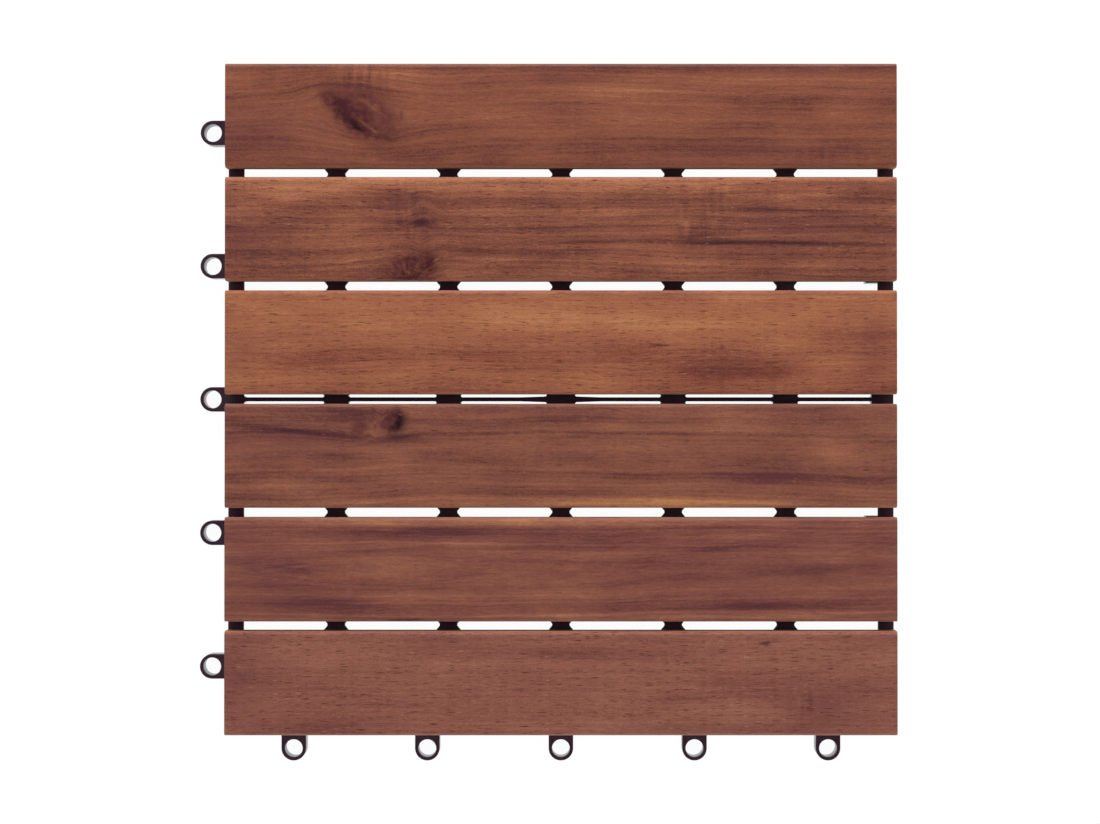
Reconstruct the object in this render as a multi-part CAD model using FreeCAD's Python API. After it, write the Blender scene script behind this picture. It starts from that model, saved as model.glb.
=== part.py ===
import FreeCAD, Part
import math
import os

# Interlocking deck tile: six hardwood slats screwed from below to one moulded grid.
# Millimetres. The origin is the middle of the tile at ground level, +Z is up,
# the slats run along X, and the loops stand out on the left (-X) and front (-Y) sides.

os.makedirs("parts", exist_ok=True)

# Wooden slats
slat_count = 6
slat_length = 299.0
slat_width = 46.3
slat_gap = 4.24
slat_thickness = 12.0
slat_edge_round = 2.0
slat_lower_chamfer = 1.5
slat_overhang = 0.25

# Moulded grid: overall form
base_height = 12.0
base_corner_radius = 3.0
skin_thickness = 2.0
wall_thickness = 1.8
edge_beam_width = 7.0

# Bearers: skins along Y that carry the slats, waisted where they cross a gap, each on a web
bearer_count = 5
bearer_pitch = 50.4
pad_width = 14.0
waist_width = 7.9
waist_length = 8.2
waist_flat = 0.9
middle_waist_width = 10.8
centre_waist_width = 12.6
middle_waist_length = 7.4
middle_waist_flat = 3.0
web_thickness = 3.0

# Ribs across the bearers
row_spacing = 25.0
cross_rib_thickness = 1.8
centre_rib_thickness = 1.8
centre_rib_root = 3.0
centre_rib_taper = 18.0
centre_rib_flare = 0.6

# Feet, which hold the beams and ribs off the ground so that water runs off below them
ground_gap = 4.0
foot_length = 9.0
centre_foot_width = 11.0

# Loops on the left and front sides
loops_per_side = 5
loop_pitch = 60.0
loop_reach = 7.45
loop_bore_radius = 4.0
loop_wall = 1.5
loop_top_clearance = 0.4

# Pegs and pockets on the right and back sides, for the loops of the next tile
tile_joint = 1.5
peg_clearance = 0.3
peg_ground_gap = 1.0
peg_tab_width = 11.0
peg_tab_margin = 0.2
pocket_clearance = 0.5
cheek_thickness = 1.6
cheek_length = 12.0

# Countersunk screws, driven up through bosses in the outer bearers
screw_recess = 5.0
screw_head_radius = 3.8
screw_head_height = 2.2
screw_shank_radius = 1.9
screw_length = 16.0
screw_tip_length = 2.5
screw_clearance = 0.05
screw_flats = 8  # each round of these small screws, and of their holes, is drawn with this many flats
boss_length = 10.0

# Sizes that follow from those above
slat_pitch = slat_width + slat_gap
base_half_x = slat_length / 2 - slat_overhang
base_half_y = (slat_count * slat_pitch - slat_gap) / 2 - slat_overhang
skin_underside = base_height - skin_thickness
loop_outer_radius = loop_bore_radius + loop_wall
loop_height = skin_underside - loop_top_clearance
peg_radius = loop_bore_radius - peg_clearance
peg_inset = loop_reach - tile_joint
pocket_half_width = loop_outer_radius + pocket_clearance
pocket_depth = peg_inset + loop_outer_radius + pocket_clearance
screw_tip = screw_recess + screw_length
cut_past = 1.0  # how far a cutting shape runs past the face that it opens
tolerance = 0.001  # two places nearer than this are the same place


def spread(count, pitch):
    """Places along one axis, evenly spaced about zero."""
    return [(i - (count - 1) / 2) * pitch for i in range(count)]


slat_middles = spread(slat_count, slat_pitch)
gap_middles = spread(slat_count - 1, slat_pitch)
bearer_middles = spread(bearer_count, bearer_pitch)
loop_stations = spread(loops_per_side, loop_pitch)
row_offsets = spread(2, row_spacing)

# Each side of the base: the turn that brings +X to face it, and how far out it is
right_side = (0, base_half_x)
back_side = (90, base_half_y)
left_side = (180, base_half_x)
front_side = (270, base_half_y)

origin = FreeCAD.Vector(0, 0, 0)
z_axis = FreeCAD.Vector(0, 0, 1)


def block(x1, x2, y1, y2, z1, z2):
    return Part.makeBox(x2 - x1, y2 - y1, z2 - z1, FreeCAD.Vector(x1, y1, z1))


def plan_face(outline, z=0.0):
    """Flat face over a closed outline of (x, y) points."""
    corners = [FreeCAD.Vector(x, y, z) for x, y in outline]
    return Part.Face(Part.makePolygon(corners + corners[:1]))


def raised(face, height):
    return face.extrude(z_axis * height)


def flat_sided(profile, flats):
    """Solid about Z with flat sides: a half section of (radius, z) points, closed on the axis."""
    turn = 2 * math.pi / flats
    rings = []
    for radius, z in profile:
        corner = radius / math.cos(turn / 2)
        angles = [turn * (i + 0.5) for i in range(flats + 1)]
        rings.append([FreeCAD.Vector(corner * math.cos(a), corner * math.sin(a), z) for a in angles])
    faces = [Part.Face(Part.makePolygon(rings[0]))]
    if profile[-1][0] > 0:
        faces.append(Part.Face(Part.makePolygon(rings[-1])))
    for low, high in zip(rings, rings[1:]):
        for i in range(flats):
            corners = [low[i], low[i + 1], high[i + 1], high[i]]
            if high[i].isEqual(high[i + 1], tolerance):
                corners.pop()
            faces.append(Part.Face(Part.makePolygon(corners + corners[:1])))
    return Part.Solid(Part.Shell(faces))


def moved(shape, x, y):
    copy = shape.copy()
    copy.translate(FreeCAD.Vector(x, y, 0))
    return copy


def along_side(shape, side, stations):
    """Copies of a shape made facing +X with the base's side face at x = 0, along one side."""
    turn, reach = side
    copies = []
    for station in stations:
        copy = moved(shape, reach, station)
        copy.rotate(origin, z_axis, turn)
        copies.append(copy)
    return copies


def screw_places(slat_middle):
    """The two screws of one slat: on its centre line, where it crosses the outermost bearers."""
    return [(bearer_middles[0], slat_middle), (bearer_middles[-1], slat_middle)]


def screw_profile(clearance):
    return [
        (screw_head_radius + clearance, screw_recess),
        (screw_shank_radius + clearance, screw_recess + screw_head_height),
        (screw_shank_radius + clearance, screw_tip - screw_tip_length),
        (0, screw_tip + clearance),
    ]


def screw():
    """Countersunk screw, point up."""
    return flat_sided(screw_profile(0.0), screw_flats)


def screw_hole():
    """The hole that a screw sits in, with the well below it that it is driven through."""
    profile = screw_profile(screw_clearance)
    return flat_sided([(profile[0][0], -cut_past)] + profile, screw_flats)


def long_edges(bar, z):
    """The edges of a slat that run along X at one height."""
    return [
        edge
        for edge in bar.Edges
        if abs(edge.CenterOfMass.z - z) < tolerance and abs(edge.CenterOfMass.x) < tolerance
    ]


def slat(slat_middle):
    """One slat, its long edges rounded above and chamfered below, with its screw holes."""
    half_x = slat_length / 2
    half_y = slat_width / 2
    top = base_height + slat_thickness
    bar = block(-half_x, half_x, slat_middle - half_y, slat_middle + half_y, base_height, top)
    bar = bar.makeFillet(slat_edge_round, long_edges(bar, top))
    bar = bar.makeChamfer(slat_lower_chamfer, long_edges(bar, base_height))
    return bar.cut([moved(screw_hole(), x, y) for x, y in screw_places(slat_middle)])


def ring(inset, width, z1, z2):
    """Rectangular ring, set in from the base's outer edge."""
    half_x = base_half_x - inset
    half_y = base_half_y - inset
    inner_x = half_x - width
    inner_y = half_y - width
    hole = block(-inner_x, inner_x, -inner_y, inner_y, z1 - cut_past, z2 + cut_past)
    return block(-half_x, half_x, -half_y, half_y, z1, z2).cut(hole)


def edge_beams():
    """Beams round the base: a skin with one wall at its outer edge, rounded at the four corners."""
    beams = ring(0, edge_beam_width, ground_gap, base_height)
    beams = beams.cut(ring(wall_thickness, edge_beam_width, 0, skin_underside))
    corners = [
        edge
        for edge in beams.Edges
        if abs(edge.CenterOfMass.x) > base_half_x - tolerance
        and abs(edge.CenterOfMass.y) > base_half_y - tolerance
    ]
    return beams.makeFillet(base_corner_radius, corners)


def middle_waist(x_middle):
    """Half the width of a bearer where it crosses the middle gap."""
    width = centre_waist_width if abs(x_middle) < tolerance else middle_waist_width
    return width / 2


def bearer_skin(x_middle):
    """Wide pads under the slats and a waist at each gap, stouter in the middle gap."""
    pad = pad_width / 2
    edge = [(pad, -base_half_y)]
    for gap in gap_middles:
        waist, length, flat = waist_width / 2, waist_length / 2, waist_flat / 2
        if abs(gap) < tolerance:
            waist = middle_waist(x_middle)
            length = middle_waist_length / 2
            flat = middle_waist_flat / 2
        edge += [(pad, gap - length), (waist, gap - flat), (waist, gap + flat), (pad, gap + length)]
    edge.append((pad, base_half_y))
    mirrored = [(-x, y) for x, y in reversed(edge)]
    outline = [(x_middle + x, y) for x, y in edge + mirrored]
    return raised(plan_face(outline, skin_underside), skin_thickness)


def bearer_web(x_middle):
    """Upright web below the middle of a bearer's skin, out of sight from above."""
    half = web_thickness / 2
    reach = base_half_y - wall_thickness / 2
    return block(x_middle - half, x_middle + half, -reach, reach, ground_gap, base_height)


def cross_ribs():
    """Two thin ribs under each slat, from side to side below the skins."""
    half = cross_rib_thickness / 2
    reach = base_half_x - wall_thickness / 2
    rows = [middle + offset for middle in slat_middles for offset in row_offsets]
    return [block(-reach, reach, y - half, y + half, ground_gap, skin_underside) for y in rows]


def centre_rib_half(x):
    """Half the thickness of the middle gap's rib, which swells towards the middle of the tile."""
    swell = max(0.0, 1 - abs(x) / centre_rib_taper)
    return (centre_rib_thickness + (centre_rib_root - centre_rib_thickness) * swell) / 2


def centre_rib():
    """Rib in the middle gap, flared where it meets each bearer and both edge beams."""
    reach = base_half_x - wall_thickness / 2
    beam = base_half_x - edge_beam_width
    flare = centre_rib_flare
    starts = [-beam] + [x + middle_waist(x) for x in bearer_middles]
    stops = [x - middle_waist(x) for x in bearer_middles] + [beam]
    edge = [(-reach, centre_rib_half(reach))]
    for start, stop in zip(starts, stops):
        edge.append((start, centre_rib_half(start) + flare))
        edge.append((start + flare, centre_rib_half(start + flare)))
        bends = [x for x in (-centre_rib_taper, centre_rib_taper) if start < x < stop]
        edge += [(x, centre_rib_half(x)) for x in bends]
        edge.append((stop - flare, centre_rib_half(stop - flare)))
        edge.append((stop, centre_rib_half(stop) + flare))
    edge.append((reach, centre_rib_half(reach)))
    outline = edge + [(x, -y) for x, y in reversed(edge)]
    return raised(plan_face(outline, ground_gap), base_height - ground_gap)


def post(width, length):
    """Block from the ground to the top of the grid, centred on the origin."""
    return block(-width / 2, width / 2, -length / 2, length / 2, 0, base_height)


def feet():
    """Where the inner bearers' webs stand on the ground, under each slat and in the middle."""
    foot = post(web_thickness, foot_length)
    places = [(x, y) for x in bearer_middles[1:-1] for y in slat_middles]
    return [moved(foot, x, y) for x, y in places] + [post(centre_foot_width, foot_length)]


def at_screws(shape):
    return [moved(shape, x, y) for middle in slat_middles for x, y in screw_places(middle)]


def bosses():
    """Posts as wide as the outer bearers, which hold the screw heads."""
    return at_screws(post(pad_width, boss_length))


def loop():
    """D-shaped lug: round outside, with straight sides that run back into the edge beam."""
    root = -wall_thickness / 2
    side = loop_outer_radius
    outline = [(loop_reach, side), (root, side), (root, -side), (loop_reach, -side)]
    corners = [FreeCAD.Vector(x, y, 0) for x, y in outline]
    tip = FreeCAD.Vector(loop_reach + side, 0, 0)
    edges = Part.makePolygon(corners).Edges + [Part.Arc(corners[-1], tip, corners[0]).toShape()]
    lug = raised(Part.Face(Part.Wire(edges)), loop_height)
    below = FreeCAD.Vector(loop_reach, 0, -cut_past)
    return lug.cut(Part.makeCylinder(loop_bore_radius, loop_height + 2 * cut_past, below))


def peg():
    """Round peg that hangs from a tab of the top skin."""
    centre = FreeCAD.Vector(-peg_inset, 0, peg_ground_gap)
    pin = Part.makeCylinder(peg_radius, skin_underside - peg_ground_gap, centre)
    tab_end = -peg_inset - peg_radius - peg_tab_margin
    half = peg_tab_width / 2
    return pin.fuse(block(tab_end, -wall_thickness, -half, half, skin_underside, base_height))


def pocket():
    """Room for the next tile's loop: through the edge beam's walls, up to the skin."""
    half = pocket_half_width
    return block(-pocket_depth, cut_past, -half, half, -cut_past, skin_underside)


def cheeks():
    """The two walls that guide a loop into its pocket."""
    outer = pocket_half_width + cheek_thickness
    near = block(-cheek_length, 0, -outer, -pocket_half_width, 0, skin_underside)
    far = block(-cheek_length, 0, pocket_half_width, outer, 0, skin_underside)
    return near, far


def base_grid():
    """The whole moulding."""
    bearers = [make(x) for make in (bearer_skin, bearer_web) for x in bearer_middles]
    frame = edge_beams().fuse(bearers + cross_ribs() + [centre_rib()])
    pockets = []
    additions = bosses() + feet()
    for side in (right_side, back_side):
        pockets += along_side(pocket(), side, loop_stations)
        additions += along_side(peg(), side, loop_stations)
        for cheek in cheeks():
            additions += along_side(cheek, side, loop_stations)
    for side in (left_side, front_side):
        additions += along_side(loop(), side, loop_stations)
    return frame.cut(pockets).fuse(additions).cut(at_screws(screw_hole())).removeSplitter()


def single(shape):
    """The one solid in a shape, checked to be sound."""
    assert len(shape.Solids) == 1, "expected one solid, got %d" % len(shape.Solids)
    assert shape.isValid()
    return shape.Solids[0]


single(base_grid()).exportStep("parts/base_grid.step")
for number, middle in enumerate(slat_middles, start=1):
    single(slat(middle)).exportStep("parts/slat_%d.step" % number)
    fasteners = Part.makeCompound([moved(screw(), x, y) for x, y in screw_places(middle)])
    fasteners.exportStep("parts/slat_%d_screws.step" % number)
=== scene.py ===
import math

import bmesh
import bpy
from mathutils import Matrix, Vector, noise


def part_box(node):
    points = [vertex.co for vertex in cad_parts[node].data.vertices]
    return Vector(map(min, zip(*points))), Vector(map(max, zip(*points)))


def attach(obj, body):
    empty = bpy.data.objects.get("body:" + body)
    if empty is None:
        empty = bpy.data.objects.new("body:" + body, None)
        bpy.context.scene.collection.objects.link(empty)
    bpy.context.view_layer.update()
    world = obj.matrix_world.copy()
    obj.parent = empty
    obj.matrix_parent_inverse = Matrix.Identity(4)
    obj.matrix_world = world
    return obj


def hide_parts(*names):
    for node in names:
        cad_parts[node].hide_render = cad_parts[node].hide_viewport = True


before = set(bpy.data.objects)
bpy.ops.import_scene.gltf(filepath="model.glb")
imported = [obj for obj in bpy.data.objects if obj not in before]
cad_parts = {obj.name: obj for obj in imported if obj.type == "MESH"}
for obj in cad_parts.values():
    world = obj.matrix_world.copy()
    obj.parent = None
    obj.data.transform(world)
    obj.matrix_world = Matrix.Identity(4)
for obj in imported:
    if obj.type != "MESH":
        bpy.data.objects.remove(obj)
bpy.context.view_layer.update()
mm = 0.001
print("frame loaded")


def toLinear(hexColour):
    # sRGB hex to the linear colour that shaders take
    channels = [int(hexColour[i:i + 2], 16) / 255 for i in (1, 3, 5)]
    return tuple(c / 12.92 if c <= 0.04045 else ((c + 0.055) / 1.055) ** 2.4 for c in channels) + (1.0,)


def addNode(tree, kind, inputs=None, **settings):
    # one node with its settings, and its inputs as values or as sockets to link. Inputs that share a
    # name go by number: a Mix takes its factor at 0 and its two colours at 6 and 7
    node = tree.nodes.new("ShaderNode" + kind)
    for name, value in settings.items():
        setattr(node, name, value)
    for key, value in (inputs or {}).items():
        if isinstance(value, bpy.types.NodeSocket):
            tree.links.new(value, node.inputs[key])
        else:
            node.inputs[key].default_value = value
    return node


def newMaterial(name):
    material = bpy.data.materials.new(name)
    material.use_nodes = True
    material.node_tree.nodes.clear()
    return material, material.node_tree


# For every mesh: how near points are to be one, how near a cut to be on a point, and in degrees how
# flat neighbours are to be one face and how sharp an edge is to be rounded, or shaded as an edge
meshRules = {"merged": 0.001 * mm, "onCut": 0.0001 * mm, "flat": 0.5, "rounded": 40, "creased": 32}


def mergedCopy(node):
    # the CAD node's loose triangles, merged and with flat faces made whole
    bm = bmesh.new()
    bm.from_mesh(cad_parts[node].data)
    bmesh.ops.remove_doubles(bm, verts=bm.verts, dist=meshRules["merged"])
    bmesh.ops.dissolve_limit(bm, angle_limit=math.radians(meshRules["flat"]), verts=bm.verts, edges=bm.edges)
    return bm


def sharpEdges(bm, degrees):
    limit = math.radians(degrees)
    return [e for e in bm.edges if len(e.link_faces) == 2 and e.calc_face_angle() > limit]


def roundEdges(bm, radius):
    bmesh.ops.bevel(bm, geom=sharpEdges(bm, meshRules["rounded"]), offset=radius, segments=2,
                    affect="EDGES", profile=0.5, material=-1, clamp_overlap=True)


def smoothShade(bm):
    # smooth everywhere but across sharp edges
    for face in bm.faces:
        face.smooth = True
    for edge in sharpEdges(bm, meshRules["creased"]):
        edge.smooth = False


def objectFrom(bm, name, material):
    mesh = bpy.data.meshes.new(name)
    bm.to_mesh(mesh)
    bm.free()
    mesh.materials.append(material)
    item = bpy.data.objects.new(name, mesh)
    bpy.context.scene.collection.objects.link(item)
    return item


def pieceFrom(bm, name, node, material):
    # a finished mesh that stands for a CAD node, in its place
    piece = objectFrom(bm, name, material)
    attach(piece, "root")
    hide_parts(node)


# patches that run most of a slat's length close to a long edge lighten that edge: partly paler sanded wood,
# partly a painted highlight where light catches the rounded edge
# Wood of the slats. Places are in mm: x from the tile's middle, y from the slat's centre line.
# seed: moves the patterns, so that no two slats are alike
# tones: the colours from dark to light. level: the middle tone. contrast: how steeply tones change
# pores, fibres, grit, bands: how strongly each of them shows
# heart: centre of the growth rings (x, y, z). stretch: how far they are drawn out along the slat.
# flat: how far from the heart, in mm before that drawing out, they begin to run straight
# patches: (x, y, half length, half width, turn in degrees, change of tone), below zero is darker
# tints: the same, towards the purple heartwood. knots: the same, towards the colour of a knot
# darks: the same, towards the black of bark that has grown in
# rays: where the rays in the knots start from (x, y)
# curls: (x, y, half length, half width, strength) of figure across the grain
slatLooks = {
    "slat_6": dict(
        seed=11.0, contrast=1.45, pores=0.7, fibres=0.30, grit=0.28,
        tones=("#3a191c", "#612f26", "#7e4532", "#8e523a", "#a86b48"),
        heart=(-40, -70, -45), stretch=9, flat=60, level=0.50, bands=0.34,
        patches=((20, 20, 120, 4, 0, -0.10), (75, -16, 95, 6, 0, -0.10), (-130, -10, 35, 7, -4, -0.08),
                 (20, -3, 110, 6, 0, 0.14), (-100, 6, 40, 8, 0, 0.07), (-66, 12, 20, 8, -30, 0.10),
                 (20, 10, 80, 7, 0, 0.28), (122, 1, 25, 6, 0, 0.14), (122, 18, 25, 4, 0, 0.06)),
        tints=((-135, -8, 40, 12, 0, 0.5), (110, 20, 30, 5, 0, 0.5), (85, -16, 70, 6, 0, 0.45),
               (-3, 17, 16, 5, 0, 0.4)),
        darks=((-93.6, -2.9, 8.2, 2.4, -35, 0.62), (-90.5, -5.4, 3.2, 1.1, -38, 0.35),
               (-101.5, 5.8, 6.2, 3.2, -35, 0.32), (-77, -10.6, 6, 0.8, -12, 0.30),
               (-71, -0.5, 0.8, 2.6, -8, 0.30)),
        knots=((-85.5, -0.6, 20, 12.0, -36, 0.62), (-92, -1.5, 12, 7, -36, 0.28),
               (-101.5, 7, 8.0, 4.8, -35, 0.42), (-86, -5.0, 6.5, 0.9, -38, -0.45),
               (-84, 3.5, 9, 1.0, -36, -0.25)),
        rays=(),
        curls=((-88, 18, 22, 8, 0.40), (120, -18, 25, 6, 0.18), (-125, 18, 20, 6, 0.18)),
    ),
    "slat_5": dict(
        seed=23.0, contrast=1.5, pores=1.5, fibres=0.36, grit=0.34,
        tones=("#38171a", "#603028", "#7e4634", "#94583e", "#b0724f"),
        heart=(-10, -85, -30), stretch=11, flat=60, level=0.50, bands=0.44,
        patches=((-60, 18.5, 130, 6.5, 0, 0.24), (-115, 18, 60, 6, 0, 0.26), (60, 19, 110, 5, 0, 0.16),
                 (-100, 0, 55, 3, 0, 0.12), (-90, -8, 45, 6, 0, 0.10), (-122, 13.5, 25, 3, 0, 0.30),
                 (98, 14, 55, 4, 0, 0.30), (0, 9.5, 90, 3, 0, -0.12), (-25, -14, 22, 3.5, 0, 0.20),
                 (100, -3, 55, 5, 0, 0.12), (25, 0, 26, 4, 0, 0.12),
                 (92, 8.4, 60, 1.6, -1, -0.32), (100, -6.4, 75, 1.5, -1, -0.36), (10, -6, 60, 1.4, 1, -0.18),
                 (64, -3.0, 18, 1.3, 0, -0.26), (72, -6.5, 18, 1.2, 0, -0.26),
                 (110, 2, 60, 9, 0, -0.12), (52, 1, 16, 6, 0, 0.20), (35, -15, 60, 6, 0, 0.08),
                 (-66, 2.8, 16, 1.8, 3, -0.28), (-100, 9, 55, 3, 0, -0.20), (-72, 17, 24, 5, 0, -0.24)),
        tints=((-140, -2, 30, 14, 0, 0.45), (105, 0, 55, 12, 0, 0.45), (-72, 10, 20, 5, 0, 0.4)),
        darks=((-59.5, -15.5, 6, 3.6, 50, 0.42), (-68.5, -21.5, 6, 1.8, 10, 0.40),
               (118, -6.6, 40, 0.6, -1, 0.16)),
        knots=((-65.5, -18.2, 15, 9.2, 10, 0.80), (-61, -1, 3.0, 9, 4, 0.16), (-67, 2.4, 15, 2.2, 3, 0.26)),
        rays=(-69.0, -26.0),
        curls=((-68, 6, 15, 20, 0.26), (62, 2, 20, 18, 0.22), (70, 18, 26, 6, 0.16)),
    ),
    "slat_4": dict(
        seed=37.0, contrast=1.45, pores=1.25, fibres=0.42, grit=0.30,
        tones=("#50251d", "#793d2b", "#92543c", "#a16341", "#b57b52"),
        heart=(0, -110, -60), stretch=14, flat=60, level=0.52, bands=0.22,
        patches=((0, 12, 220, 11, 0, 0.20), (0, -8, 210, 9, 0, -0.05), (42, -1.5, 7, 1.6, 0, -0.25),
                 (40, 6, 70, 6, 0, 0.10), (75, -11, 50, 5, 0, -0.12), (90, 19.5, 60, 3, 0, 0.16),
                 (-90, -4, 50, 4, 0, 0.06), (75, -16, 80, 7, 0, -0.18)),
        tints=((140, -2, 16, 24, 0, 0.35), (-142, -4, 12, 20, 0, 0.3), (70, -11, 50, 7, 0, 0.25)),
        darks=((42.5, -1.5, 3.6, 0.8, 0, 0.22),),
        knots=(), rays=(), curls=(),
    ),
    "slat_3": dict(
        seed=52.0, contrast=1.3, pores=0.8, fibres=0.30, grit=0.24,
        tones=("#371820", "#5f2f2a", "#7e4938", "#935941", "#b5794b"),
        heart=(-20, -60, -25), stretch=10, flat=60, level=0.48, bands=0.36,
        patches=((-120, 11, 38, 2.6, -6, -0.32), (-72, 8, 12, 1.6, 6, -0.34), (50, 10, 110, 2.2, 0, -0.10),
                 (-100, 0, 45, 3.2, -3, -0.14), (85, -8.5, 80, 4, -1, -0.12), (60, 12, 90, 9, 0, 0.14),
                 (-100, 20, 55, 4, 0, -0.22), (75, -14, 30, 3, 0, -0.08),
                 (-40, -7, 60, 5, 0, 0.16), (-75, -2, 25, 5, 0, 0.14), (122, 0, 28, 16, 0, 0.14),
                 (20, -21, 190, 4, 0, 0.34), (-95, -7, 40, 4, -2, 0.14), (-60, 4, 45, 3, 5, 0.12),
                 (20, 4, 90, 4, 0, 0.08)),
        tints=((-120, 6, 42, 16, 0, 0.5), (95, -9, 60, 7, 0, 0.5), (-74, 15, 9, 7, 0, 0.5),
               (-50, -12, 50, 6, 0, 0.3)),
        darks=((-74.6, 15.8, 5.6, 5.8, 0, 1.30), (-77.6, 16.3, 5.2, 4.9, 0, -1.5),
               (-118, 11.0, 28, 0.9, -6, 0.18)),
        knots=((-76.0, 15.4, 5.6, 5.4, 0, 0.76), (-90, 12.5, 5, 4.0, 60, 0.50),
               (-105, 9.8, 16, 1.4, -6, 0.30), (-78.5, 17.4, 2.6, 0.8, 30, -0.5),
               (-82.6, 14, 0.8, 4.5, 10, -0.5), (-80, 9.5, 4, 0.7, -35, -0.4)),
        rays=(),
        curls=((-84, 15, 10, 10, 0.25),),
    ),
    "slat_2": dict(
        seed=68.0, contrast=1.15, pores=0.5, fibres=0.40, grit=0.20,
        tones=("#3a1b23", "#602f2e", "#7b4539", "#915943", "#b5784d"),
        heart=(-76, 2.4, 2), stretch=6.0, flat=9, level=0.50, bands=0.62,
        patches=((-20, 21.5, 190, 3.2, 0, 0.34), (-75, 2.5, 36, 8, 0, 0.08), (-50, 11.5, 70, 1.8, -1, 0.20),
                 (-86, 8.2, 38, 1.4, 2, -0.18), (-82, -6.6, 38, 1.4, -3, -0.18), (-119, 1, 8, 5, 0, -0.14),
                 (-60, 17, 75, 2.6, 0, -0.23), (-110, -15, 50, 4, 0, -0.18), (70, 9, 45, 3, 6, -0.21),
                 (110, 0, 45, 3, 4, -0.22), (90, -16, 60, 2.6, 1, -0.26), (0, -20.5, 170, 2.6, 0, 0.18),
                 (110, -20, 45, 3, 0, 0.20), (90, 15, 50, 2.4, -1, 0.14), (-123, 1, 22, 12, 0, -0.12),
                 (120, 4, 28, 8, 0, 0.20), (-75, -14, 26, 4, 0, 0.16), (0, 9.5, 120, 2.6, 0, -0.16),
                 (75, 19, 28, 3, 0, -0.20)),
        tints=((-135, 0, 30, 20, 0, 0.45), (-115, -15, 40, 5, 0, 0.5), (110, 0, 60, 18, 0, 0.35)),
        darks=((-68, -22.4, 9, 0.9, 0, 0.45),),
        knots=(), rays=(), curls=(),
    ),
    "slat_1": dict(
        seed=83.0, contrast=1.2, pores=1.4, fibres=0.50, grit=0.36,
        tones=("#4b2426", "#723e35", "#885142", "#97604c", "#ae785c"),
        heart=(0, -130, -70), stretch=16, flat=60, level=0.50, bands=0.18,
        patches=((-80, -9.3, 30, 1.6, 0, -0.14), (65, -6, 50, 2.2, 1, -0.14), (91, 18, 3, 1.6, 0, -0.4),
                 (110, -9, 18, 12, 0, -0.14), (0, 12, 150, 8, 0, 0.06), (-100, -17, 70, 5, 0, -0.06),
                 (30, -20, 130, 4, 0, 0.16), (0, 13.5, 130, 4, 0, -0.20), (80, -13, 60, 4, 0, 0.10)),
        tints=((-142, 0, 22, 26, 0, 0.4), (118, -10, 36, 16, 0, 0.5), (60, -20, 100, 3, 0, 0.5),
               (-110, -20, 50, 5, 0, 0.3)),
        darks=((91, 18, 2.6, 1.1, 0, 0.45),),
        knots=(), rays=(),
        curls=((108, -8, 14, 15, 0.26),),
    ),
}

# How the grain is drawn, for all slats. Cells are the length and width of one grain feature in mm.
# Real pores are 0.1 to 0.2 mm wide and fibres finer still, which is too fine to show from where the
# camera stands, so fibres are drawn 0.5 mm wide and pores with a dark core of 0.3 mm.
# ringBands: width of a band in mm, detail, roughness. noises: cell, detail, roughness
# swells: how much larger than its size a blob is drawn, because it fades early
# stops: where the five tones stand
grain = {
    "seedSteps": (1.0, 0.7, 0.3),
    "wander": (95, 24), "wanderBy": 7.0,
    "wobble": (34, 7), "wobbleBy": 1.8,
    "feather": (26, 1.1), "featherBy": 26.0,
    "ringBands": {"broad": (7.5, 3, 0.6), "fine": (1.5, 2, 0.5)},
    "noises": {"fibres": ((5, 0.50), 3, 0.65), "streaks": ((34, 1.2), 2, 0.5), "clouds": ((42, 13), 2, 0.5)},
    "grit": (0.9, 0.5),
    "fineShare": 0.20, "streakShare": 0.16, "cloudShare": 0.40,
    "curlWave": (3.0, 13), "curlBy": 2.4,
    "blobDepth": 60,
    "partingSwell": (3.2, 2.6), "partingTurn": 0.4, "partingBy": 0.85,
    "patchSwell": (1.3, 1.5), "tintSwell": (1.3, 1.4), "curlSwell": (1.3, 1.3),
    "stops": (0.05, 0.30, 0.50, 0.70, 0.95),
    # paintedLight: the colour of the painted light on the long sides and of the painted highlights on the
    # rims of pores
    "purple": "#5c2b31", "paintedLight": "#c08a68",
}


def stretched(tree, look, vector, cell):
    # the place, drawn out along the slat, so that one unit is one grain feature
    length, width = cell
    shift = [look["seed"] * step for step in grain["seedSteps"]]
    return addNode(tree, "Mapping", {"Vector": vector, "Location": shift,
                                     "Scale": (1 / length, 1 / width, 1 / width)}).outputs[0]


def blob(tree, vector, spot, swell):
    # 1 at a place, falling to 0 at the edge of an ellipse that reaches down through the slat
    x, y, length, width, turn = spot
    size = (length * swell[0], width * swell[1], grain["blobDepth"])
    inside = addNode(tree, "Mapping", {"Vector": vector, "Location": (x, y, 0),
                                       "Rotation": (0, 0, math.radians(turn)), "Scale": size},
                     vector_type="TEXTURE").outputs[0]
    return addNode(tree, "TexGradient", {"Vector": inside}, gradient_type="QUADRATIC_SPHERE").outputs[1]


def grainFlow(tree, look, place):
    # the grain wanders gently, and parts to flow round each knot
    x, y, z = addNode(tree, "SeparateXYZ", {0: place}).outputs
    wander = addNode(tree, "TexNoise", {"Vector": stretched(tree, look, place, grain["wander"]), "Scale": 1,
                                        "Detail": 1}).outputs[0]
    bent = addNode(tree, "Math", {0: wander, 1: grain["wanderBy"], 2: y},
                   operation="MULTIPLY_ADD").outputs[0]
    for knotX, knotY, length, width, turn, _ in look["knots"]:
        spot = (knotX, knotY, length, width, turn * grain["partingTurn"])
        near = blob(tree, place, spot, grain["partingSwell"])
        aside = addNode(tree, "Math", {0: y, 1: knotY}, operation="SUBTRACT").outputs[0]
        pull = addNode(tree, "Math", {0: near, 1: -grain["partingBy"]}, operation="MULTIPLY").outputs[0]
        bent = addNode(tree, "Math", {0: aside, 1: pull, 2: bent}, operation="MULTIPLY_ADD").outputs[0]
    return addNode(tree, "CombineXYZ", {0: x, 1: bent, 2: z}).outputs[0]


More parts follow.
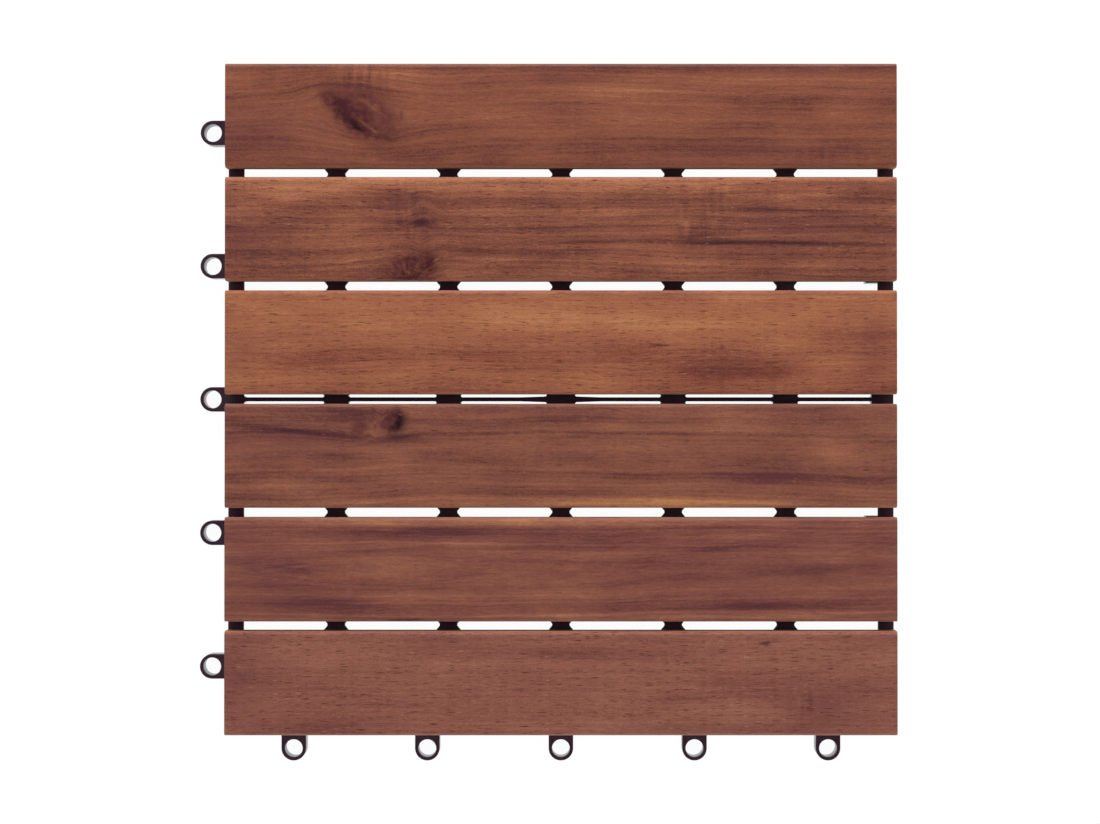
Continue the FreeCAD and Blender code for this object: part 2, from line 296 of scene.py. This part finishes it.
def growthRings(tree, look, place, flow):
    # how many mm out from the heart a point lies, by rings that run straight farther along the slat
    heart = addNode(tree, "Mapping", {"Vector": flow, "Location": look["heart"],
                                      "Scale": (look["stretch"], 1, 1)}, vector_type="TEXTURE").outputs[0]
    along, across, up = addNode(tree, "SeparateXYZ", {0: heart}).outputs
    slower = addNode(tree, "Math", {0: along}, operation="ABSOLUTE").outputs[0]
    slower = addNode(tree, "Math", {0: slower, 1: 1 / look["flat"], 2: 1.0},
                     operation="MULTIPLY_ADD").outputs[0]
    along = addNode(tree, "Math", {0: along, 1: slower}, operation="DIVIDE").outputs[0]
    heart = addNode(tree, "CombineXYZ", {0: along, 1: across, 2: up}).outputs[0]
    radius = addNode(tree, "VectorMath", {0: heart}, operation="LENGTH").outputs["Value"]
    wobble = addNode(tree, "TexNoise", {"Vector": stretched(tree, look, place, grain["wobble"]), "Scale": 1,
                                        "Detail": 2}).outputs[0]
    return addNode(tree, "Math", {0: wobble, 1: grain["wobbleBy"], 2: radius},
                   operation="MULTIPLY_ADD").outputs[0]


def grainLayers(tree, look, place, flow):
    # the patterns that make up the tone: bands of uneven width in the growth rings, and noises
    # along the grain
    rings = growthRings(tree, look, place, flow)
    layers = {}
    for name, (width, detail, roughness) in grain["ringBands"].items():
        layers[name] = addNode(tree, "TexNoise", {"W": rings, "Scale": 1 / width, "Detail": detail,
                                                  "Roughness": roughness}, noise_dimensions="1D").outputs[0]
    for name, (cell, detail, roughness) in grain["noises"].items():
        layers[name] = addNode(tree, "TexNoise", {"Vector": stretched(tree, look, flow, cell), "Scale": 1,
                                                  "Detail": detail, "Roughness": roughness}).outputs[0]
    layers["grit"] = addNode(tree, "TexNoise", {"Vector": stretched(tree, look, place, grain["grit"]),
                                                "Scale": 1, "Detail": 1}).outputs[0]
    return layers


def featheredPlace(tree, look, place, flow):
    # places moved to and fro along the grain, so that patches end in streaks
    x, y, z = addNode(tree, "SeparateXYZ", {0: place}).outputs
    feather = addNode(tree, "TexNoise", {"Vector": stretched(tree, look, flow, grain["feather"]), "Scale": 1,
                                         "Detail": 2}).outputs[0]
    feather = addNode(tree, "Math", {0: feather, 1: 0.5}, operation="SUBTRACT").outputs[0]
    x = addNode(tree, "Math", {0: feather, 1: grain["featherBy"], 2: x}, operation="MULTIPLY_ADD").outputs[0]
    return addNode(tree, "CombineXYZ", {0: x, 1: y, 2: z}).outputs[0]


def grainTone(tree, look, place, feathered, layers):
    # layers swing evenly about the slat's level, and patches and curls come on top
    weights = {"broad": look["bands"], "fine": grain["fineShare"], "fibres": look["fibres"],
               "streaks": grain["streakShare"], "clouds": grain["cloudShare"], "grit": look["grit"]}
    tone = look["level"] - sum(weights.values()) / 2
    for name, weight in weights.items():
        tone = addNode(tree, "Math", {0: layers[name], 1: weight, 2: tone},
                       operation="MULTIPLY_ADD").outputs[0]
    for *spot, change in look["patches"]:
        patch = blob(tree, feathered, spot, grain["patchSwell"])
        tone = addNode(tree, "Math", {0: patch, 1: change, 2: tone}, operation="MULTIPLY_ADD").outputs[0]
    wave = addNode(tree, "TexNoise", {"Vector": stretched(tree, look, place, grain["curlWave"]), "Scale": 1,
                                      "Detail": 2}).outputs[0]
    wave = addNode(tree, "Math", {0: wave, 1: 0.5}, operation="SUBTRACT").outputs[0]
    for *spot, strength in look["curls"]:
        area = blob(tree, place, spot + [0], grain["curlSwell"])
        curl = addNode(tree, "Math", {0: area, 1: wave}, operation="MULTIPLY").outputs[0]
        tone = addNode(tree, "Math", {0: curl, 1: strength * grain["curlBy"], 2: tone},
                       operation="MULTIPLY_ADD").outputs[0]
    return tone


def toneColour(tree, look, feathered, tone):
    # the slat's own tones from dark to light, with a purple tint over the heartwood
    ramp = addNode(tree, "ValToRGB", {0: tone})
    while len(ramp.color_ramp.elements) < len(look["tones"]):
        ramp.color_ramp.elements.new(0.5)
    for element, stop, hexColour in zip(ramp.color_ramp.elements, grain["stops"], look["tones"]):
        element.position = 0.5 + (stop - 0.5) / look["contrast"]
        element.color = toLinear(hexColour)
    tint = 0.0
    for *spot, amount in look["tints"]:
        patch = blob(tree, feathered, spot, grain["tintSwell"])
        tint = addNode(tree, "Math", {0: patch, 1: amount, 2: tint}, operation="MULTIPLY_ADD").outputs[0]
    return addNode(tree, "Mix", {0: tint, 6: ramp.outputs[0], 7: toLinear(grain["purple"])},
                   data_type="RGBA").outputs[2]


# Knots and bark have ragged edges and an uneven tone, and the bark has the softer edges.
# kinds: colour, how much larger than its size a blob is drawn, and the value from which it is full
# uneven and rayContrast: from where to where in a noise the strength changes, and from what to what
spots = {
    "kinds": {"knots": ("#4b2027", 1.42, 0.33), "darks": ("#200a13", 1.6, 0.45)},
    "ragged": 2.6, "raggedBy": 3.2, "uneven": (0.35, 0.65, 0.78, 1.15),
    "raysRound": 7.0, "raysOutward": 0.12, "rayContrast": (0.35, 0.65, 0.45, 1.25),
}


def knotRays(tree, look, place, amount):
    # rays run out through a knot from one point of it
    parts = addNode(tree, "SeparateXYZ", {0: place}).outputs
    level = addNode(tree, "CombineXYZ", {0: parts[0], 1: parts[1]}).outputs[0]
    spread = addNode(tree, "VectorMath", {0: level, 1: look["rays"] + (0,)}, operation="SUBTRACT").outputs[0]
    parts = addNode(tree, "SeparateXYZ", {0: spread}).outputs
    angle = addNode(tree, "Math", {0: parts[1], 1: parts[0]}, operation="ARCTAN2").outputs[0]
    angle = addNode(tree, "Math", {0: angle, 1: spots["raysRound"]}, operation="MULTIPLY").outputs[0]
    reach = addNode(tree, "VectorMath", {0: spread}, operation="LENGTH").outputs["Value"]
    reach = addNode(tree, "Math", {0: reach, 1: spots["raysOutward"]}, operation="MULTIPLY").outputs[0]
    polar = addNode(tree, "CombineXYZ", {0: angle, 1: reach}).outputs[0]
    rays = addNode(tree, "TexNoise", {"Vector": polar, "Scale": 1, "Detail": 3, "Roughness": 0.6}).outputs[0]
    start, end, least, most = spots["rayContrast"]
    rays = addNode(tree, "MapRange", {0: rays, 1: start, 2: end, 3: least, 4: most}).outputs[0]
    return addNode(tree, "Math", {0: amount, 1: rays}, operation="MULTIPLY", use_clamp=True).outputs[0]


def addSpots(tree, look, place, colour):
    # the colour with the knots and the bark in it, and how much of the sheen they take away
    noises = addNode(tree, "TexNoise", {"Vector": place, "Scale": 1 / spots["ragged"], "Detail": 3}).outputs
    start, end, least, most = spots["uneven"]
    uneven = addNode(tree, "MapRange", {0: noises[0], 1: start, 2: end, 3: least, 4: most}).outputs[0]
    ragged = addNode(tree, "VectorMath", {0: noises[1], 1: (0.5, 0.5, 0.5)}, operation="SUBTRACT").outputs[0]
    ragged = addNode(tree, "VectorMath", {0: ragged, 1: (spots["raggedBy"],) * 3, 2: place},
                     operation="MULTIPLY_ADD").outputs[0]
    dull = 0.0
    for kind, (hexColour, swell, full) in spots["kinds"].items():
        amount = 0.0
        for *spot, strength in look[kind]:
            part = blob(tree, ragged, spot, (swell, swell))
            part = addNode(tree, "MapRange", {0: part, 1: 0.0, 2: full, 3: 0.0, 4: strength}).outputs[0]
            amount = addNode(tree, "Math", {0: part, 1: amount}, operation="ADD").outputs[0]
        amount = addNode(tree, "Math", {0: amount, 1: uneven}, operation="MULTIPLY",
                         use_clamp=True).outputs[0]
        if kind == "knots" and look["rays"]:
            amount = knotRays(tree, look, place, amount)
        colour = addNode(tree, "Mix", {0: amount, 6: colour, 7: toLinear(hexColour)},
                         data_type="RGBA").outputs[2]
        dull = addNode(tree, "Math", {0: amount, 1: dull}, operation="ADD").outputs[0]
    return colour, dull


# Open pores are short dark dashes that follow the grain, many fine ones and a few large ones, and
# flecks are pale ones where the light catches the rim of a pore.
# Each: the cell in mm that a dash has to itself, the dash's half width in cells, the share of cells
# that have none, and its strength. core: the part of the half width that is at full strength
dashLooks = {
    "pores": (((8.0, 0.80), 0.34, 0.40, 0.58),
              ((4.0, 0.75), 0.34, 0.45, 0.52),
              ((14.0, 1.9), 0.16, 0.30, 0.60)),
    "flecks": ((5.5, 1.2), 0.26, 0.45, 0.22),
    "core": 0.55, "poreDark": "#55261b",
}


def dashes(tree, look, flow, cell, width, empty, strength):
    cells = addNode(tree, "TexVoronoi", {"Vector": stretched(tree, look, flow, cell), "Scale": 1}).outputs
    dash = addNode(tree, "MapRange", {0: cells["Distance"], 1: width * dashLooks["core"], 2: width,
                                      3: strength * look["pores"], 4: 0.0}).outputs[0]
    chance = addNode(tree, "SeparateColor", {0: cells["Color"]}).outputs[0]
    kept = addNode(tree, "MapRange", {0: chance, 1: empty, 2: 1.0, 3: 0.0, 4: 1.0}).outputs[0]
    return addNode(tree, "Math", {0: dash, 1: kept}, operation="MULTIPLY").outputs[0]


def addPores(tree, look, flow, colour):
    # the colour with flecks and pores in it, and how deep the pores are
    flecks = dashes(tree, look, flow, *dashLooks["flecks"])
    colour = addNode(tree, "Mix", {0: flecks, 6: colour, 7: toLinear(grain["paintedLight"])},
                     data_type="RGBA").outputs[2]
    pores = 0.0
    for layer in dashLooks["pores"]:
        pores = addNode(tree, "Math", {0: dashes(tree, look, flow, *layer), 1: pores},
                        operation="ADD").outputs[0]
    colour = addNode(tree, "Mix", {0: pores, 6: colour, 7: toLinear(dashLooks["poreDark"])},
                     data_type="RGBA").outputs[2]
    return colour, pores


# The oiled face, and the long sides, which are less sanded and less oiled, so duller. The long sides are
# also painted paler, as painted light that lifts the shade in the gaps between the slats.
# sideFrom and sideTo: how far a face's normal turns to Y before it starts to count, and counts fully
finish = {
    "sideFrom": 0.80, "sideTo": 0.97, "sidePaintedLight": 1.2, "sideRoughness": 0.30, "sideGloss": 0.08,
    "roughness": 0.56, "poreRoughness": 0.15, "gloss": 0.34, "dulledBy": 0.65,
    "ior": 1.47, "fibreHeight": 0.5, "bump": 0.6, "bumpDepth": 0.10 * mm,
}


def sawnSides(tree):
    # 1 on the long sides and 0 on the face
    facing = addNode(tree, "NewGeometry").outputs["True Normal"]
    facing = addNode(tree, "SeparateXYZ", {0: facing}).outputs[1]
    facing = addNode(tree, "Math", {0: facing}, operation="ABSOLUTE").outputs[0]
    return addNode(tree, "MapRange", {0: facing, 1: finish["sideFrom"], 2: finish["sideTo"], 3: 0.0,
                                      4: 1.0}).outputs[0]


def oiledSheen(tree, sawn, pores, dull):
    # knots, bark and open pores take the oil in and have less of the sheen
    dull = addNode(tree, "Math", {0: pores, 1: dull}, operation="ADD", use_clamp=True).outputs[0]
    dull = addNode(tree, "MapRange", {0: dull, 3: 1.0, 4: 1.0 - finish["dulledBy"]}).outputs[0]
    gloss = addNode(tree, "MapRange", {0: sawn, 1: 0.0, 2: 1.0, 3: finish["gloss"],
                                       4: finish["sideGloss"]}).outputs[0]
    return addNode(tree, "Math", {0: gloss, 1: dull}, operation="MULTIPLY").outputs[0]


def woodMaterial(slat):
    # Acacia, planed, sanded and oiled: warm brown with darker heartwood bands, short open pores
    # and a low satin sheen, a little duller in the pores
    look = slatLooks[slat]
    low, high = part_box(slat)
    middle = Vector((0, (low.y + high.y) / 2, high.z)) / mm
    material, tree = newMaterial("oiledAcacia_" + slat)
    place = addNode(tree, "TexCoord").outputs["Object"]
    place = addNode(tree, "Mapping", {"Vector": place, "Location": -middle,
                                      "Scale": (1 / mm, 1 / mm, 1 / mm)}).outputs[0]
    flow = grainFlow(tree, look, place)
    feathered = featheredPlace(tree, look, place, flow)
    layers = grainLayers(tree, look, place, flow)
    tone = grainTone(tree, look, place, feathered, layers)
    colour = toneColour(tree, look, feathered, tone)
    colour, dull = addSpots(tree, look, place, colour)
    colour, pores = addPores(tree, look, flow, colour)

    sawn = sawnSides(tree)
    # painted light: the long sides are painted paler along the streaks, so that the shade in the gaps
    # between the slats looks lighter; sidePaintedLight sets how strongly
    paintedLight = addNode(tree, "Math", {0: layers["streaks"], 1: finish["sidePaintedLight"]},
                   operation="MULTIPLY").outputs[0]
    paintedLight = addNode(tree, "Math", {0: sawn, 1: paintedLight}, operation="MULTIPLY", use_clamp=True).outputs[0]
    colour = addNode(tree, "Mix", {0: paintedLight, 6: colour, 7: toLinear(grain["paintedLight"])},
                     data_type="RGBA").outputs[2]

    height = addNode(tree, "Math", {0: layers["fibres"], 1: finish["fibreHeight"], 2: 0.5},
                     operation="MULTIPLY_ADD").outputs[0]
    height = addNode(tree, "Math", {0: height, 1: pores}, operation="SUBTRACT").outputs[0]
    bump = addNode(tree, "Bump", {"Strength": finish["bump"], "Distance": finish["bumpDepth"],
                                  "Height": height}).outputs[0]
    roughness = addNode(tree, "Math", {0: pores, 1: finish["poreRoughness"], 2: finish["roughness"]},
                        operation="MULTIPLY_ADD").outputs[0]
    roughness = addNode(tree, "Math", {0: sawn, 1: finish["sideRoughness"], 2: roughness},
                        operation="MULTIPLY_ADD", use_clamp=True).outputs[0]
    shader = addNode(tree, "BsdfPrincipled", {"Base Color": colour, "Roughness": roughness,
                                              "IOR": finish["ior"], "Normal": bump,
                                              "Specular IOR Level": oiledSheen(tree, sawn, pores, dull)})
    addNode(tree, "OutputMaterial", {0: shader.outputs[0]})
    return material


# Slats: the sawn ends are eased a little, and sanding has left the long edges not quite straight
slatShape = {"easedBy": 0.35 * mm, "cutEvery": 4 * mm, "wornBy": 0.16 * mm, "wornWithin": 1.7 * mm,
             "wornLength": 14 * mm, "wornMore": 0.15, "wornDown": 0.5}
# where in the noise each slat, by its place in metres, and each of its two long edges is read
wearRows = {"slat": 90, "edge": 5}


def cutAcross(bm, low, high):
    # cuts across a slat give its long edges the points that wear moves
    cuts = int((high.x - low.x) / slatShape["cutEvery"])
    for i in range(1, cuts):
        x = low.x + (high.x - low.x) * i / cuts
        bmesh.ops.bisect_plane(bm, geom=bm.verts[:] + bm.edges[:] + bm.faces[:], dist=meshRules["onCut"],
                               plane_co=(x, 0, 0), plane_no=(1, 0, 0))


def wearEdges(bm, low, high):
    within = slatShape["wornWithin"]
    for vert in bm.verts:
        edge = min(vert.co.y - low.y, high.y - vert.co.y)
        if vert.co.z > high.z - within and edge < within:
            side = 1 if vert.co.y < (low.y + high.y) / 2 else -1
            row = low.y * wearRows["slat"] + side * wearRows["edge"]
            wear = noise.noise(Vector((vert.co.x / slatShape["wornLength"], row, 0)))
            inward = (1 - edge / within) * slatShape["wornBy"] * max(0.0, wear + slatShape["wornMore"])
            vert.co.y += side * inward
            vert.co.z -= inward * slatShape["wornDown"]


def makeSlat(node):
    low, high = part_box(node)
    bm = mergedCopy(node)
    cutAcross(bm, low, high)
    roundEdges(bm, slatShape["easedBy"])
    wearEdges(bm, low, high)
    smoothShade(bm)
    pieceFrom(bm, node + "_wood", node, woodMaterial(node))


for slatName in slatLooks:
    makeSlat(slatName)
print("slats made")


# Grid: all edges are rounded a little, as a mould leaves them
gridShape = {"edgeRound": 0.2 * mm}

# The mould's grain is about 0.1 mm and is drawn 0.35 mm wide, so that it shows. grit and flow are in
# mm. upright: how far a face's normal turns to Z before it starts to look moulded, and looks fully so
plastic = {"colour": "#290f22", "dust": "#361a2e", "ior": 1.49, "flow": 18.0, "grit": 0.35,
           "bump": 0.35, "bumpDepth": 0.03 * mm, "roughness": 0.52, "roughnessSpread": 0.16, "gloss": 0.30,
           "drawnRoughness": 0.20, "drawnGloss": 0.44, "upright": (0.05, 0.30)}


def plasticMaterial():
    # Polypropylene, injection moulded and coloured black: a fine spark-eroded grain with a soft sheen
    # and faint flow marks on flat faces, and upright walls and bores that the mould has drawn smooth
    material, tree = newMaterial("mouldedPolypropylene")
    place = addNode(tree, "TexCoord").outputs["Object"]
    place = addNode(tree, "Mapping", {"Vector": place, "Scale": (1 / mm, 1 / mm, 1 / mm)}).outputs[0]
    flowMarks = addNode(tree, "TexNoise", {"Vector": place, "Scale": 1 / plastic["flow"],
                                           "Detail": 3}).outputs[0]
    grit = addNode(tree, "TexNoise", {"Vector": place, "Scale": 1 / plastic["grit"], "Detail": 2}).outputs[0]
    colour = addNode(tree, "Mix", {0: flowMarks, 6: toLinear(plastic["colour"]),
                                   7: toLinear(plastic["dust"])}, data_type="RGBA").outputs[2]
    smoothest = plastic["roughness"] - plastic["roughnessSpread"] / 2
    roughness = addNode(tree, "Math", {0: flowMarks, 1: plastic["roughnessSpread"], 2: smoothest},
                        operation="MULTIPLY_ADD").outputs[0]
    facing = addNode(tree, "NewGeometry").outputs["True Normal"]
    facing = addNode(tree, "SeparateXYZ", {0: facing}).outputs[2]
    facing = addNode(tree, "Math", {0: facing}, operation="ABSOLUTE").outputs[0]
    upright, flat = plastic["upright"]
    roughness = addNode(tree, "MapRange", {0: facing, 1: upright, 2: flat, 3: plastic["drawnRoughness"],
                                           4: roughness}).outputs[0]
    gloss = addNode(tree, "MapRange", {0: facing, 1: upright, 2: flat, 3: plastic["drawnGloss"],
                                       4: plastic["gloss"]}).outputs[0]
    bump = addNode(tree, "Bump", {"Strength": plastic["bump"], "Distance": plastic["bumpDepth"],
                                  "Height": grit}).outputs[0]
    shader = addNode(tree, "BsdfPrincipled", {"Base Color": colour, "Roughness": roughness,
                                              "IOR": plastic["ior"], "Specular IOR Level": gloss,
                                              "Normal": bump})
    addNode(tree, "OutputMaterial", {0: shader.outputs[0]})
    return material


def makeGrid():
    bm = mergedCopy("base_grid")
    roundEdges(bm, gridShape["edgeRound"])
    smoothShade(bm)
    pieceFrom(bm, "grid_moulding", "base_grid", plasticMaterial())


makeGrid()
print("grid made")


# Screws: a countersunk head with a cross recess, a core that ends in a point and a coarse thread
screwShape = {"steps": 48, "rim": 0.3 * mm, "headHeight": 2.2 * mm, "core": 1.35 * mm, "tip": 3.2 * mm,
              "wing": 0.55 * mm, "reach": 2.1 * mm, "recess": 1.7 * mm, "recessTaper": 0.5,
              "crest": 1.85 * mm, "pitch": 1.6 * mm, "ridge": 0.8 * mm, "threadRoot": 0.95,
              "threadFrom": 3.6 * mm, "threadSteps": 24}
zincPlate = {"dark": "#a9aaa6", "light": "#cfcfc8", "cloud": 1.4, "roughness": 0.24, "cloudRoughness": 0.2}


def zincMaterial():
    # Zinc-plated steel: bright and a little cloudy
    material, tree = newMaterial("zincPlatedSteel")
    place = addNode(tree, "TexCoord").outputs["Object"]
    place = addNode(tree, "Mapping", {"Vector": place, "Scale": (1 / mm, 1 / mm, 1 / mm)}).outputs[0]
    cloudy = addNode(tree, "TexNoise", {"Vector": place, "Scale": 1 / zincPlate["cloud"],
                                        "Detail": 4}).outputs[0]
    colour = addNode(tree, "Mix", {0: cloudy, 6: toLinear(zincPlate["dark"]),
                                   7: toLinear(zincPlate["light"])}, data_type="RGBA").outputs[2]
    roughness = addNode(tree, "Math", {0: cloudy, 1: zincPlate["cloudRoughness"],
                                       2: zincPlate["roughness"]}, operation="MULTIPLY_ADD").outputs[0]
    shader = addNode(tree, "BsdfPrincipled", {"Base Color": colour, "Metallic": 1.0, "Roughness": roughness})
    addNode(tree, "OutputMaterial", {0: shader.outputs[0]})
    return material


def turnedScrew(bm, foot, length, headRadius):
    # head down, open below, from the head's face up to the point
    core = screwShape["core"]
    outline = [(headRadius, 0), (headRadius, screwShape["rim"]), (core, screwShape["headHeight"]),
               (core, length - screwShape["tip"]), (0, length)]
    verts = [bm.verts.new(foot + Vector((r, 0, z))) for r, z in outline]
    edges = [bm.edges.new(pair) for pair in zip(verts, verts[1:])]
    bmesh.ops.spin(bm, geom=verts + edges, cent=foot, axis=(0, 0, 1), angle=2 * math.pi,
                   steps=screwShape["steps"], use_merge=True)
    # the point was turned into a ring of points on one spot
    bmesh.ops.remove_doubles(bm, verts=bm.verts, dist=meshRules["merged"])


def crossRecess(bm, foot):
    # the head's flat face, with a cross sunk into it
    edgeOfHead = [e for e in bm.edges if e.is_boundary]
    wing, reach = screwShape["wing"], screwShape["reach"]
    corners = []
    for quarter in range(4):
        turn = Matrix.Rotation(quarter * math.pi / 2, 3, "Z")
        for x, y in ((reach, -wing), (reach, wing), (wing, wing)):
            corners.append(bm.verts.new(foot + turn @ Vector((x, y, 0))))
    cross = [bm.edges.new(pair) for pair in zip(corners, corners[1:] + corners[:1])]
    bmesh.ops.triangle_fill(bm, use_beauty=True, edges=edgeOfHead + cross, normal=(0, 0, -1))
    sunk = bmesh.ops.extrude_edge_only(bm, edges=cross)["geom"]
    deep = [part for part in sunk if isinstance(part, bmesh.types.BMVert)]
    taper = screwShape["recessTaper"]
    bmesh.ops.scale(bm, verts=deep, vec=(taper, taper, 1), space=Matrix.Translation(-foot))
    bmesh.ops.translate(bm, verts=deep, vec=(0, 0, screwShape["recess"]))
    bottom = [part for part in sunk
              if isinstance(part, bmesh.types.BMEdge) and all(v in deep for v in part.verts)]
    bmesh.ops.triangle_fill(bm, use_beauty=True, edges=bottom, normal=(0, 0, -1))


def thread(bm, foot, length):
    # a three-cornered ridge, wound round the core with its root a little inside it
    pitch, ridge, steps = screwShape["pitch"], screwShape["ridge"], screwShape["threadSteps"]
    root = screwShape["core"] * screwShape["threadRoot"]
    start = screwShape["threadFrom"]
    profile = [(root, start), (screwShape["crest"], start + ridge / 2), (root, start + ridge)]
    face = bm.faces.new([bm.verts.new(foot + Vector((r, 0, z))) for r, z in profile])
    turns = (length - screwShape["tip"] - start - ridge) / pitch
    bmesh.ops.spin(bm, geom=[face] + list(face.verts) + list(face.edges), cent=foot, axis=(0, 0, 1),
                   dvec=(0, 0, pitch / steps), angle=2 * math.pi * turns, steps=round(turns * steps))


def makeScrews(node, material):
    # both screws of one slat
    low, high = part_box(node)
    headRadius = (high.y - low.y) / 2
    bm = bmesh.new()
    for middleX in (low.x + headRadius, high.x - headRadius):
        foot = Vector((middleX, (low.y + high.y) / 2, low.z))
        turnedScrew(bm, foot, high.z - low.z, headRadius)
        crossRecess(bm, foot)
        thread(bm, foot, high.z - low.z)
    bmesh.ops.recalc_face_normals(bm, faces=bm.faces)
    smoothShade(bm)
    pieceFrom(bm, node + "_steel", node, material)


zinc = zincMaterial()
for slatName in slatLooks:
    makeScrews(slatName + "_screws", zinc)
print("screws made")


# Floor, light and camera. white and faint: the sweep's own light and how brightly it takes a shadow
# where it is seen. bounce: the light that it sends up. ambient: the light from all round
stage = {"size": 6.0, "below": 0.2 * mm, "colour": "#f4f4f4", "white": 0.96, "faint": 0.09, "bounce": 0.35,
         "ambient": 0.25}


def paperMaterial():
    material, tree = newMaterial("whitePaperSweep")
    # seen directly or in a gloss, the sweep is nearly white of itself, and the shadow stays on it
    rays = addNode(tree, "LightPath").outputs
    seen = addNode(tree, "Math", {0: rays["Is Camera Ray"], 1: rays["Is Glossy Ray"]},
                   operation="MAXIMUM").outputs[0]
    seen = addNode(tree, "Math", {0: seen, 1: rays["Is Transmission Ray"]}, operation="MAXIMUM").outputs[0]
    glow = addNode(tree, "Emission", {0: (1, 1, 1, 1), 1: stage["white"]}).outputs[0]
    faint = addNode(tree, "BsdfDiffuse", {0: (stage["faint"],) * 3 + (1,)}).outputs[0]
    lit = addNode(tree, "AddShader", {0: glow, 1: faint}).outputs[0]
    # a little light comes up through the sweep, which keeps the tile's underside readable
    bounce = addNode(tree, "Emission", {0: (1, 1, 1, 1), 1: stage["bounce"]}).outputs[0]
    paper = addNode(tree, "BsdfDiffuse", {0: toLinear(stage["colour"])}).outputs[0]
    paper = addNode(tree, "AddShader", {0: paper, 1: bounce}).outputs[0]
    mixed = addNode(tree, "MixShader", {0: seen, 1: paper, 2: lit}).outputs[0]
    # from below the sweep is clear, so that the tile's underside can be looked at
    clear = addNode(tree, "BsdfTransparent").outputs[0]
    behind = addNode(tree, "NewGeometry").outputs["Backfacing"]
    mixed = addNode(tree, "MixShader", {0: behind, 1: mixed, 2: clear}).outputs[0]
    addNode(tree, "OutputMaterial", {0: mixed})
    return material


def makeFloor():
    bm = bmesh.new()
    bmesh.ops.create_grid(bm, x_segments=1, y_segments=1, size=stage["size"] / 2)
    bmesh.ops.translate(bm, verts=bm.verts, vec=(0, 0, -stage["below"]))
    floor = objectFrom(bm, "floor", paperMaterial())


def makeWorld():
    world = bpy.data.worlds.new("studio")
    bpy.context.scene.world = world
    world.use_nodes = True
    tree = world.node_tree
    tree.nodes.clear()
    rays = addNode(tree, "LightPath").outputs
    dim = addNode(tree, "Background", {0: (1, 1, 1, 1), 1: stage["ambient"]}).outputs[0]
    white = addNode(tree, "Background", {0: (1, 1, 1, 1), 1: 1.0}).outputs[0]
    mixed = addNode(tree, "MixShader", {0: rays["Is Camera Ray"], 1: dim, 2: white}).outputs[0]
    addNode(tree, "OutputWorld", {0: mixed})


# each lamp: where it stands, its width and height, and its power in watts
lamps = {
    "backSoftbox": ((0.0, 1.9, 0.75), (2.2, 1.2), 52),
    "leftSoftbox": ((-1.6, 0.2, 1.4), (1.2, 1.6), 8.5),
    "rightSoftbox": ((1.6, 0.2, 1.4), (1.2, 1.6), 8.5),
    "frontFill": ((0.0, -1.9, 0.75), (2.2, 1.2), 21),
}


def makeLamps():
    # every lamp points at the tile's middle
    for name, (spot, size, power) in lamps.items():
        data = bpy.data.lights.new(name, "AREA")
        data.shape = "RECTANGLE"
        data.size, data.size_y = size
        data.energy = power
        lamp = bpy.data.objects.new(name, data)
        lamp.location = spot
        lamp.rotation_euler = (-Vector(spot)).to_track_quat("-Z", "Y").to_euler()
        bpy.context.scene.collection.objects.link(lamp)


# The camera looks down from over the tile's middle, which lies a little off the picture's middle,
# and leans a little, so that the front slat is the wider one. tileRight and tileUp are in pixels of
# the picture, sensor in mm and lean in degrees
camera = {"distance": 1224 * mm, "lens": 88.36, "sensor": 36, "lean": 0.65, "pictureWidth": 1100,
          "tileRight": 10.9, "tileUp": 12.4, "near": 10 * mm}


def makeCamera():
    data = bpy.data.cameras.new("camera")
    data.lens = camera["lens"]
    data.sensor_width = camera["sensor"]
    data.shift_x = -camera["tileRight"] / camera["pictureWidth"]
    data.shift_y = -camera["tileUp"] / camera["pictureWidth"]
    data.clip_start = camera["near"]
    eye = bpy.data.objects.new("camera", data)
    lean = math.radians(camera["lean"])
    eye.location = (0, -camera["distance"] * math.sin(lean), camera["distance"] * math.cos(lean))
    eye.rotation_euler = (lean, 0, 0)
    bpy.context.scene.collection.objects.link(eye)
    bpy.context.scene.camera = eye


makeFloor()
makeWorld()
makeLamps()
makeCamera()
bpy.context.scene.view_settings.view_transform = "Standard"
print("stage made")
